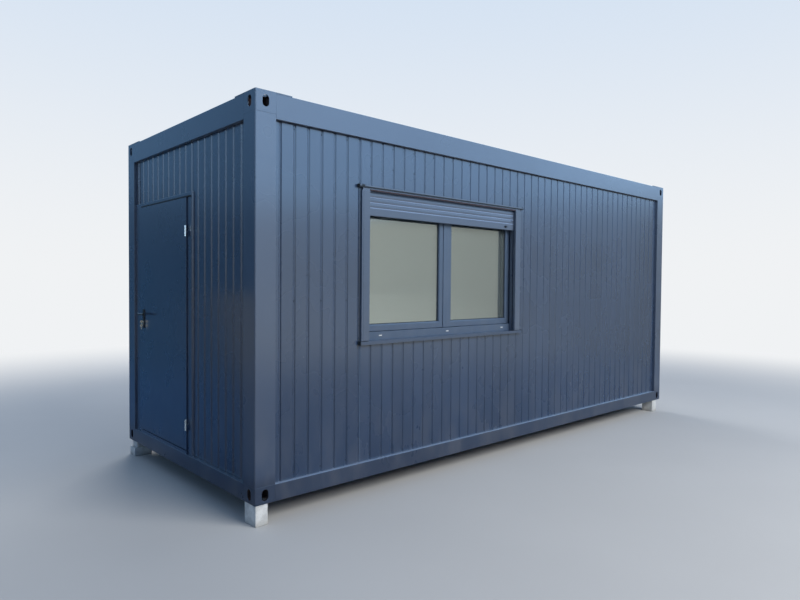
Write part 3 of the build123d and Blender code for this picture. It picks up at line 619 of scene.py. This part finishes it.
def islands(node):
    """The corners of each separate solid in a node."""
    bm = welded(node)
    left, found = set(bm.verts), []
    while left:
        reached = [left.pop()]
        for vert in reached:
            near = {edge.other_vert(vert) for edge in vert.link_edges} & left
            left -= near
            reached.extend(near)
        points = [v.co for v in reached]
        found.append(tuple(Vector([pick(p[a] for p in points) for a in range(3)]) for pick in (min, max)))
    bm.free()
    return sorted(found, key=lambda box: tuple(box[0]))


PLACES = ("door_front", "door_back", "far_front", "far_back")
SIDES = ("front", "back", "door_end", "far_end")
SIDE_WALLS = ("front_wall_left", "front_wall_right", "front_wall_over_window", "front_wall_under_window",
              "back_wall")
END_WALLS = ("far_end_wall", "door_wall_wide", "door_wall_narrow", "door_wall_over_door")


class CABIN_OT_steel_frame(Operator):
    """Paint the posts, rails and corner fittings, with their edges rounded"""

    bl_idname = "cabin.steel_frame"
    bl_label = "Steel frame"

    def execute(self, context):
        posts = [f"post_{place}" for place in PLACES]
        rails = [f"{level}_rail_{side}" for level in ("top", "bottom") for side in SIDES]
        for nodes, finish in (
            (posts + rails, "frame paint"),
            (["top_corner_fittings"], "top fitting paint"),
            (["bottom_corner_fittings"], "foot fitting paint"),
        ):
            soften("painted", nodes, settings()[1].steel_rounding, finish)
        return {"FINISHED"}


class CABIN_OT_cladding(Operator):
    """Coat the grooved wall sheets, with their folds rounded"""

    bl_idname = "cabin.cladding"
    bl_label = "Cladding"

    def execute(self, context):
        for nodes, finish in ((SIDE_WALLS, "side cladding"), (END_WALLS, "end cladding")):
            soften("folded", nodes, settings()[1].fold_rounding, finish, steeper=20)
        return {"FINISHED"}


class CABIN_OT_cladding_screws(Operator):
    """Screw the wall sheets down in rows, in every second groove"""

    bl_idname = "cabin.cladding_screws"
    bl_label = "Cladding screws"

    def execute(self, context):
        details = settings()[1]
        pitch, bed, radius = details.groove_pitch, details.groove_depth, details.screw_radius
        rows, clear, over_rail = (0.04, 1.27, 2.485), 0.02, 0.177
        bm = bmesh.new()

        def screw(centre, direction):
            stud(bm, centre, direction, radius, radius * 0.7)

        back_low, back_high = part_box("back_wall")
        window_low, window_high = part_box("window_frame")
        over_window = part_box("front_wall_over_window")[0].z + over_rail
        middle, face = (back_low.x + back_high.x) / 2, back_high.y - bed
        count = int((back_high.x - back_low.x) / 2 / pitch)
        for x in (middle + step * pitch for step in range(-count, count + 1) if step % 2):
            at_window = window_low.x - clear < x < window_high.x + clear
            for z in (back_low.z + row for row in rows):
                screw((x, face, z), (0, 1, 0))
                if not (at_window and window_low.z < z < over_window):
                    screw((x, -face, z), (0, -1, 0))
            if at_window:
                screw((x, -face, over_window), (0, -1, 0))
        end_low, end_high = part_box("far_end_wall")
        door_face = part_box("door_wall_wide")[0].x + bed
        frame_low, frame_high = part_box("door_frame")
        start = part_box("bottom_corner_fittings")[0].y + details.end_groove_start
        for step in range(1, math.ceil((end_high.y - start) / pitch), 2):
            y = start + step * pitch
            at_door = frame_low.y - clear < y < frame_high.y + clear
            for z in (end_low.z + row for row in rows):
                screw((end_high.x - bed, y, z), (1, 0, 0))
                if not (at_door and z < frame_high.z):
                    screw((door_face, y, z), (-1, 0, 0))
        add_piece(bm, "cladding_screws", "screw")
        return {"FINISHED"}


class CABIN_OT_roof_and_floor(Operator):
    """Finish the roof sheet, its joists and screws, and the floor's steel from below"""

    bl_idname = "cabin.roof_and_floor"
    bl_label = "Roof and underfloor"

    def execute(self, context):
        coat(["roof_sheet", "roof_joists", "floor_cross_members"], "zinc")
        low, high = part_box("roof_sheet")
        pitch = settings()[1].roof_screw_pitch
        seat, washer, margin = low.z + 0.002, 0.0015, 0.03
        count = int((high.x - low.x) / 2 / pitch) - 1
        turned = ((seat, 0.009, washer, 12), (seat + washer, 0.0055, 0.005, 6))  # washer and hexagon head
        bm = bmesh.new()
        for step in range(-count, count + 1):
            x = (low.x + high.x) / 2 + step * pitch
            for y in (low.y + margin, (low.y + high.y) / 2, high.y - margin):
                for foot, radius, height, segments in turned:
                    stud(bm, (x, y, foot), (0, 0, 1), radius, height, 0.9, segments)
        add_piece(bm, "roof_screws", "bright zinc")
        return {"FINISHED"}


class CABIN_OT_window(Operator):
    """Finish the window's profiles and panes, and add its rubber and drain caps"""

    bl_idname = "cabin.window"
    bl_label = "Window"

    def execute(self, context):
        details = settings()[1]
        nodes = ("window_frame", "window_sash_left", "window_sash_right")
        soften("profile", nodes, details.profile_rounding, "window foil")
        coat(["window_glass"], "glass")
        soften("moulded", ["window_handle"], 0.003, "furniture", segments=3)
        bite, proud = 0.010, 0.003
        bm = bmesh.new()
        for low, high in islands("window_glass"):
            for near, far in ((low.y - proud, low.y), (high.y, high.y + proud)):
                window_ring(bm, (low.x + bite, near, low.z + bite), (high.x - bite, far, high.z - bite),
                            details.gasket)
        add_piece(bm, "pane_gaskets", "rubber")
        low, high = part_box("window_frame")
        half, foot, top = 0.016, low.z + 0.032, low.z + 0.040
        middles = [low.x + (high.x - low.x) * share for share in (0.12, 0.515, 0.905)]
        caps = [((x - half, low.y - proud, foot), (x + half, low.y, top)) for x in middles]
        add_piece(slabs(caps, 0.0015), "drain_caps", "trim")
        return {"FINISHED"}


class CABIN_OT_shutter(Operator):
    """Finish the shutter, its guides, the sill and the drip cap, with their caps and brush"""

    bl_idname = "cabin.shutter"
    bl_label = "Roller shutter"

    def execute(self, context):
        rest = ("shutter_bottom_bar", "shutter_guide_left", "shutter_guide_right")
        soften("lacquered", ["shutter_curtain"], 0.003, "shutter lacquer", segments=3)
        soften("lacquered", rest, 0.0012, "shutter lacquer")
        coat(["shutter_box", "window_drip_cap"], "shutter lacquer")
        coat(["window_sill"], "sill paint")
        self.end_caps()
        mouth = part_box("shutter_box")[0]
        left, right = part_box("shutter_guide_left"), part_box("shutter_guide_right")
        thick, tall = 0.0025, 0.010
        brush = ((left[1].x, mouth.y - thick, mouth.z), (right[0].x, mouth.y, mouth.z + tall))
        add_piece(slabs([brush]), "shutter_brush", "brush")
        self.slat_shoulders()
        face, short, rim = left[0].y, 0.004, 0.003
        foot, top = left[0].z + short, left[1].z - short
        widths = ((left[0].x + 0.016, left[1].x - rim), (right[0].x + rim, right[0].x + 0.046))
        covers = [((start, face - 0.002, foot), (end, face + 0.001, top)) for start, end in widths]
        add_piece(slabs(covers, 0.0012), "guide_covers", "shutter lacquer")
        low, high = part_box("shutter_bottom_bar")
        from_end = 0.127
        centre = Vector((high.x - from_end, low.y, (low.z + high.z) / 2))
        bm = bmesh.new()
        stop = stud(bm, centre, (0, -1, 0), radius=0.011, height=0.012, top=9 / 11, segments=24)
        bmesh.ops.scale(bm, verts=stop, vec=(1.7, 1, 0.9), space=Matrix.Translation(-centre))
        round_edges(bm, 0.001)
        add_piece(bm, "shutter_stop", "rubber")
        return {"FINISHED"}

    def end_caps(self):
        """Black caps on the flashings' ends, the drip cap's plug, and a black strip on the drip cap's lower front
        that is a painted shadow under the cap.
        """
        past, lap, deep, skin, proud = 0.003, 0.004, 0.031, 0.001, 0.0005
        caps = []
        for node in ("window_sill", "window_drip_cap"):
            low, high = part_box(node)
            for start, end in ((low.x - past, low.x + lap), (high.x - lap, high.x + past)):
                caps.append(((start, low.y - proud, low.z - skin), (end, low.y + deep, high.z + skin)))
        low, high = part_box("window_drip_cap")
        start, width, depth = low.x + 0.022, 0.030, 0.012
        plug = ((start, low.y - proud, low.z - skin), (start + width, low.y + depth, high.z - skin))
        bm = slabs([*caps, plug], 0.001)
        # a thin black strip on the lower front of the drip cap: painted shadow under the cap
        thick, tall = 0.0006, 0.008
        slab(bm, (low.x + lap, low.y - thick, low.z), (high.x - lap, low.y, low.z + tall))
        add_piece(bm, "flashing_end_caps", "rubber")

    def slat_shoulders(self):
        """The rounded top of the bottom bar and of the lowest slats, in a lighter lacquer that is a painted
        highlight.
        """
        details = settings()[1]
        low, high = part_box("shutter_bottom_bar")
        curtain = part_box("shutter_curtain")[0]
        radius, sunk, short = details.slat_shoulder, 0.0005, 0.004
        bm = bmesh.new()
        for step, front in enumerate((low.y, curtain.y, curtain.y)):
            centre = ((low.x + high.x) / 2, front + radius - sunk, curtain.z + step * details.slat_pitch)
            bmesh.ops.create_cone(
                bm, cap_ends=True, segments=20, radius1=radius, radius2=radius, depth=high.x - low.x - short,
                matrix=Matrix.Translation(centre) @ Matrix.Rotation(math.radians(90), 4, "Y"),
            )
        add_piece(bm, "slat_shoulders", "slat edge")


class CABIN_OT_door(Operator):
    """Finish the door leaf, its frame, hinges and threshold, and add its seal and cover strips"""

    bl_idname = "cabin.door"
    bl_label = "Door"

    def execute(self, context):
        soften("skinned", ["door_leaf"], 0.002, "door paint")
        soften("painted", ["door_frame"], 0.004, "door paint", segments=3)
        coat(["door_hinges_fixed", "door_hinges_moving"], "hinge")
        coat(["door_threshold"], "door paint")
        low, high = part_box("door_leaf")
        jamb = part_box("door_frame")[0].x
        inset, width, gap, past_hinges = 0.003, 0.010, 0.0012, 0.07
        near, far = high.x + 0.0008, high.x + 0.0048
        left, right, top = low.y + inset, high.y - inset, high.z - inset
        seals = (
            ((near, left, low.z), (far, left + width, top)),
            ((near, right - width, low.z), (far, right, top)),
            ((near, left, top - width), (far, right, top)),
            # black rubber rain strip over the leaf's top and past the hinges; its black also stands in for the
            # shadow line under the door head, a partly painted shadow
            ((low.x - 0.0006, low.y - past_hinges, high.z + gap), (jamb + 0.001, right, high.z + 0.0125)),
        )
        add_piece(slabs(seals, 0.0012), "door_seal", "rubber")
        self.cover_strips()
        return {"FINISHED"}

    def cover_strips(self):
        """A flat strip over the narrow wall, and a bead with one broad bevel beside the hinge jamb."""
        low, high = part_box("door_wall_narrow")
        frame_low, frame_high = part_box("door_frame")
        face, edge, bite = frame_low.x, frame_low.y, low.x + 0.002
        gap, sunk, width = 0.0005, 0.003, 0.011
        bm = slabs([((face, low.y + gap, low.z), (bite, high.y - gap, frame_high.z))], 0.0015)
        bead = slab(bm, (face + sunk, edge - width, frame_low.z), (bite, edge, frame_high.z))
        outer = [e for e in {e for v in bead for e in v.link_edges}
                 if all(v.co.x < face + 0.004 and v.co.y < edge - 0.01 for v in e.verts)]
        bevel(bm, outer, 0.010, 3)
        add_piece(bm, "jamb_cover_strips", "door paint")


class CABIN_OT_door_furniture(Operator):
    """Finish the levers, plates, lock cylinder and keys, and add the plates' screws"""

    bl_idname = "cabin.door_furniture"
    bl_label = "Door furniture"

    def execute(self, context):
        coat(["door_levers"], "furniture")
        soften("moulded", ["door_furniture_plates"], 0.0015, "furniture")
        coat(["door_lock_cylinder", "door_keys"], "nickel")
        low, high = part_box("door_furniture_plates")
        inset, radius, height = 0.012, 0.004, 0.0015
        bm = bmesh.new()
        for z in (low.z + inset, high.z - inset):
            for x, way in ((low.x, -1), (high.x, 1)):
                stud(bm, (x, (low.y + high.y) / 2, z), (way, 0, 0), radius, height, 0.7, 16)
        add_piece(bm, "plate_screws", "furniture", body="door")
        return {"FINISHED"}


class CABIN_OT_interior(Operator):
    """Finish the lining, ceiling and floor, and add skirting and corner trims"""

    bl_idname = "cabin.interior"
    bl_label = "Interior"

    def execute(self, context):
        coat(["front_wall_lining", "back_wall_lining", "ceiling"], "side lining")
        coat(["far_end_wall_lining", "door_wall_lining"], "end lining")
        coat(["floor_deck"], "floor")
        low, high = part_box("floor_deck")
        jamb_low, jamb_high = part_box("door_frame")
        foot, top, thick = high.z, high.z + settings()[1].skirting_height, 0.009
        skirting = (
            ((low.x, low.y, foot), (high.x, low.y + thick, top)),
            ((low.x, high.y - thick, foot), (high.x, high.y, top)),
            ((high.x - thick, low.y, foot), (high.x, high.y, top)),
            ((low.x, low.y, foot), (low.x + thick, jamb_low.y, top)),
            ((low.x, jamb_high.y, foot), (low.x + thick, high.y, top)),
        )
        add_piece(slabs(skirting, 0.003), "skirting", "trim")
        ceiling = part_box("ceiling")[0].z
        leg, wall = 0.055, 0.003
        trims = []
        for x, way in ((low.x, 1), (high.x, -1)):
            for y, turn in ((low.y, 1), (high.y, -1)):
                for across, along in ((leg, wall), (wall, leg)):
                    xs, ys = sorted((x, x + way * across)), sorted((y, y + turn * along))
                    trims.append(((xs[0], ys[0], top), (xs[1], ys[1], ceiling)))
        add_piece(slabs(trims), "corner_trims", "trim")
        return {"FINISHED"}


class CABIN_OT_blocks(Operator):
    """Cast rough, chipped blocks under the corners"""

    bl_idname = "cabin.blocks"
    bl_label = "Blocks"

    def execute(self, context):
        details = settings()[1]
        deepest, shift = details.chip_depth, Vector((details.chip_seed, 0, 0))
        arris, grit, fine, coarse = 0.006, 0.0012, 60, 24
        for node in ("foundation_blocks", "packing_block"):
            bm = merged(node)
            round_edges(bm, arris, segments=3)
            wide = [e for e in bm.edges if e.calc_length() > 0.02]
            bmesh.ops.subdivide_edges(bm, edges=wide, cuts=details.block_cuts, use_grid_fill=True)
            bmesh.ops.recalc_face_normals(bm, faces=bm.faces)
            bm.normal_update()
            for vert in bm.verts:
                rough = abs(noise.fractal(vert.co * fine + shift, 0.8, 2.1, 4))
                chip = max(0.0, noise.noise(vert.co * coarse + shift) - 0.2)
                edge = 1 - max(abs(v) for v in vert.normal)
                vert.co -= vert.normal * min(grit * rough + deepest * chip * (0.1 + 5 * edge), deepest)
            add_piece(bm, f"cast_{node}", "concrete", [node], sharp=60)
        return {"FINISHED"}


# Each soft light's place, aim, size and tint
CABIN_MIDDLE = (0, 0, 1.2)
LAMPS = {
    "key": ((0.5, -9.5, 6.8), CABIN_MIDDLE, (7, 5), (1.0, 0.99, 0.97)),
    "fill": ((-12.0, -1.5, 5.0), CABIN_MIDDLE, (6, 5), (0.4, 0.8, 1.0)),
    "back": ((4.0, 11.0, 9.0), CABIN_MIDDLE, (8, 6), (1.0, 1.0, 1.0)),
    "ground": ((-5.5, 3.0, 6.5), (-5.5, 3.0, 0), (4, 4), (0.7, 0.85, 1.0)),
}
# Towards the window side, where gloss mirrors at full gain and where that stops
WINDOW_SIDE = (-0.93, -0.43)


class CABIN_OT_stage(Operator):
    """Lay the pale floor, hang the soft lights and stand the camera up"""

    bl_idname = "cabin.stage"
    bl_label = "Stage"

    def execute(self, context):
        stage = settings()[2]
        scene = context.scene
        scene.view_settings.view_transform = "Standard"
        self.lay_floor(stage)
        self.fill_world(scene, stage)
        for name, (place, aim, size, tint) in LAMPS.items():
            lamp = bpy.data.lights.new(f"{name} light", "AREA")
            lamp.shape = "RECTANGLE"
            lamp.size, lamp.size_y = size
            lamp.energy = getattr(stage, f"{name}_power")
            lamp.color = tint
            light = placed(f"{name} light", lamp)
            light.location = place
            light.rotation_euler = (Vector(aim) - Vector(place)).to_track_quat("-Z", "Y").to_euler()
            light.visible_camera = light.visible_glossy = False
        yaw, pitch, roll = (math.radians(v) for v in stage.turn)
        lens = bpy.data.cameras.new("camera")
        lens.lens = stage.lens
        lens.sensor_width = 36
        lens.sensor_fit = "HORIZONTAL"
        lens.clip_end = 300
        camera = placed("camera", lens)
        camera.matrix_world = (
            Matrix.Translation(stage.eye) @ Matrix.Rotation(yaw, 4, "Z")
            @ Matrix.Rotation(math.radians(90) + pitch, 4, "X") @ Matrix.Rotation(roll, 4, "Z")
        )
        scene.camera = camera
        return {"FINISHED"}

    def lay_floor(self, stage):
        bm = bmesh.new()
        bmesh.ops.create_circle(bm, cap_ends=True, segments=96, radius=90)
        floor = placed("studio_floor", meshed(bm, "studio_floor", self.floor_finish(stage)))

    def floor_finish(self, stage):
        """Pale floor that fades into the backdrop, and a darker one where gloss mirrors it."""
        recipe = Recipe("studio floor")
        x, y, _ = recipe.axes
        glossy, watched = recipe.watched()
        turned = recipe.maths("ADD", y, recipe.times(x, 2.1))
        beyond = recipe.times(recipe.level(turned, -8.5, -7.1, 0.0, stage.door_end_shade),
                              recipe.level(x, -3.6, -3.0, 1.0, 0.0), glossy)
        base = recipe.tones(recipe.cloud(0.8, 5), stage.floor, 0.97, 1.0)
        base = recipe.blend(recipe.times(glossy, 0.75), base, stage.mirrored_floor)
        ground = recipe.surface(recipe.blend(beyond, base, shade(stage.mirrored_door_end, 0.8)), 0.9)
        away = recipe.add("ShaderNodeVectorMath", {0: recipe.place}, operation="LENGTH").outputs["Value"]
        mirrored = recipe.blend(beyond, stage.mirrored_low, stage.mirrored_door_end)
        far = recipe.blend(glossy, stage.backdrop_low, mirrored)
        side = recipe.maths("DIVIDE", y, away)
        gain = recipe.level(side, *WINDOW_SIDE, stage.mirrored_gain - 1, 0.0)
        gain = recipe.maths("ADD", recipe.times(gain, glossy), 1.0)
        glow = recipe.add("ShaderNodeEmission", {0: far, 1: gain}).outputs[0]
        return recipe.done(recipe.over(recipe.times(recipe.level(away, 5, 12), watched), ground, glow))

    def fill_world(self, scene, stage):
        """The backdrop that is seen, the brighter one that gloss mirrors, and the light from all round."""
        recipe = Recipe("studio", "worlds", "Generated")
        x, y, z = recipe.axes
        ramp, times = recipe.ramp, recipe.times
        glossy, watched = recipe.watched()
        sky = recipe.blend(recipe.level(z, 0.0, 0.6), stage.backdrop_low, stage.backdrop_high)
        mirrored = recipe.blend(recipe.level(z, 0.09, 0.15), stage.mirrored_low, stage.mirrored_high)
        shaded = times(ramp(x, -0.1, 0.2, stage.door_end_shade, 0.0), ramp(y, -0.1, 0.5, 0.0, 1.0),
                       ramp(z, 0.0, 0.12, 1.0, 0.85))
        mirrored = recipe.blend(shaded, mirrored, stage.mirrored_door_end)
        full, high = stage.mirrored_gain, stage.mirrored_gain * 0.26
        window_side = times(ramp(y, *WINDOW_SIDE, full - 1, 0.0), ramp(x, -0.45, 0.0, 0.0, 1.0))
        overhead = ramp(z, 0.05, 0.5, 0.0, high)
        far_side = times(ramp(z, 0.1, 0.16, 0.0, high * 1.5), ramp(x, -0.2, 0.1, 0.0, 1.0))
        door_side = times(ramp(x, -0.96, -0.76, full, 0.0), ramp(y, -0.2, 0.0, 1.0, 0.0))
        gain = times(recipe.maths("MAXIMUM", window_side, overhead, far_side, door_side), glossy)
        around = {0: stage.ambient, 1: stage.ambient_strength}
        shown = {0: recipe.blend(glossy, sky, mirrored), 1: recipe.maths("ADD", gain, 1.0)}
        backgrounds = [recipe.add("ShaderNodeBackground", inputs).outputs[0] for inputs in (around, shown)]
        scene.world = recipe.done(recipe.over(watched, *backgrounds), "ShaderNodeOutputWorld")


OPERATORS = (
    CABIN_OT_steel_frame, CABIN_OT_cladding, CABIN_OT_cladding_screws, CABIN_OT_roof_and_floor,
    CABIN_OT_window, CABIN_OT_shutter, CABIN_OT_door, CABIN_OT_door_furniture, CABIN_OT_interior,
    CABIN_OT_blocks, CABIN_OT_stage,
)
GROUPS = {"cabin_finishes": CabinFinishes, "cabin_details": CabinDetails, "cabin_stage": CabinStage}


class CABIN_PT_sidebar(Panel):
    """The cabin's steps and settings"""

    bl_idname = "CABIN_PT_sidebar"
    bl_label = "Site cabin"
    bl_space_type = "VIEW_3D"
    bl_region_type = "UI"
    bl_category = "Cabin"

    def draw(self, context):
        for operator in OPERATORS:
            self.layout.operator(operator.bl_idname)
        for name, group in GROUPS.items():
            box = self.layout.box()
            for setting in group.__annotations__:
                box.prop(getattr(context.scene, name), setting)


def register():
    for kind in (*GROUPS.values(), *OPERATORS, CABIN_PT_sidebar):
        bpy.utils.register_class(kind)
    for name, group in GROUPS.items():
        setattr(Scene, name, PointerProperty(type=group))


def unregister():
    for name in GROUPS:
        delattr(Scene, name)
    for kind in (CABIN_PT_sidebar, *reversed(OPERATORS), *reversed(tuple(GROUPS.values()))):
        bpy.utils.unregister_class(kind)


def main():
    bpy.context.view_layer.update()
    register()
    for operator in OPERATORS:
        group, action = operator.bl_idname.split(".")
        getattr(getattr(bpy.ops, group), action)()


if __name__ == "__main__":
    main()
